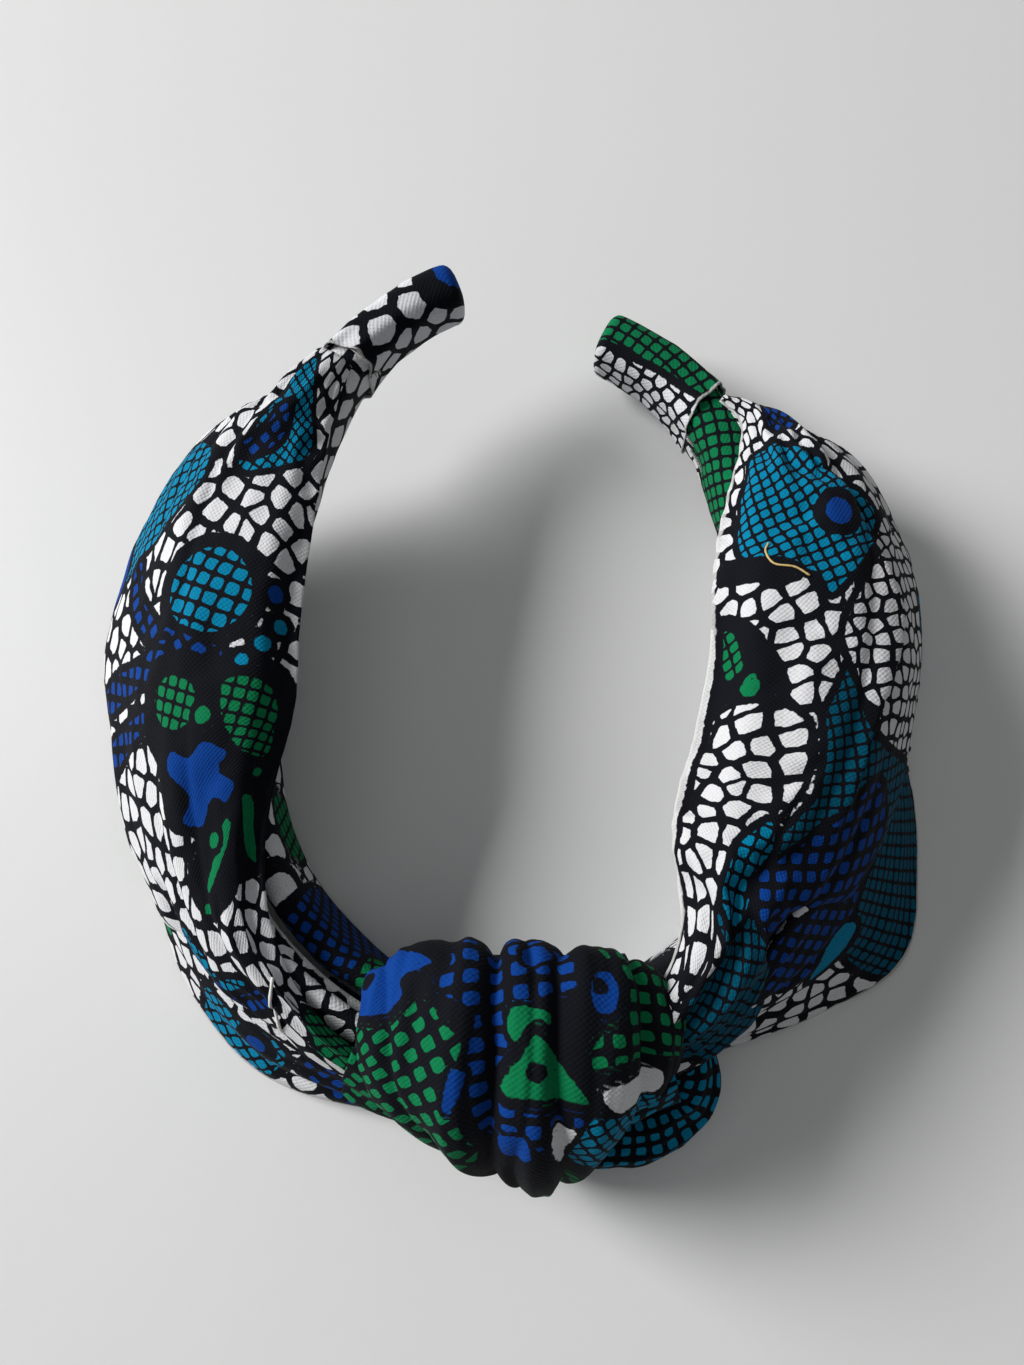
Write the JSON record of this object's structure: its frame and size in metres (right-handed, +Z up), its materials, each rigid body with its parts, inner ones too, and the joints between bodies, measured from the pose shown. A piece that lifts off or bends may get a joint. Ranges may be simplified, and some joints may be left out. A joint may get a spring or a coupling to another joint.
{
  "type": "knotted headband",
  "caption": "Turban style headband: a flexible band in a padded printed cotton sleeve, with wide folded straps knotted over the crown.",
  "frame": {"origin": "on the table, under the middle of the whole headband as it lies on its edge", "axes": "+Z up, along the width of the band; +Y from the knot to the tips; +X towards the arm that lies flat"},
  "size_m": [0.188, 0.1879, 0.0505],
  "materials": {
    "printed_cotton": "matt plain weave cotton with a wax print",
    "end_cloth": "matt plain weave cotton with a wax print",
    "wadding": "soft polyester wadding",
    "core_plastic": "plain moulded band",
    "thread": "sewing thread"
  },
  "bodies": {
    "crown": {"core_crown": "core_plastic", "padding_crown": "wadding", "sleeve_crown": "printed_cotton", "knot_wrap": "printed_cotton", "knot_heart": "printed_cotton", "knot_tack": "thread"},
    "left_arm": {"core_left_arm": "core_plastic", "padding_left_arm": "wadding", "sleeve_left_arm": "printed_cotton", "end_cover_left": "end_cloth", "gather_lashing_left": "thread", "strap_left_upper": "printed_cotton", "strap_left_lower": "printed_cotton"},
    "right_arm": {"core_right_arm": "core_plastic", "padding_right_arm": "wadding", "sleeve_right_arm": "printed_cotton", "end_cover_right": "end_cloth", "gather_lashing_right": "thread", "strap_right_upper": "printed_cotton", "strap_right_lower": "printed_cotton"}
  },
  "joints": [
    {"name": "left_arm_flex", "type": "hinge", "parent": "crown", "child": "left_arm", "pos_m": [-0.02915, -0.05412, 0.0125], "axis": [0, 0, 1], "range_deg": [-4, 14], "stiffness_Nm_per_rad": 0.6},
    {"name": "right_arm_flex", "type": "hinge", "parent": "crown", "child": "right_arm", "pos_m": [0.02915, -0.05412, 0.0125], "axis": [0, 0, -1], "range_deg": [-4, 14], "stiffness_Nm_per_rad": 0.6}
  ]
}
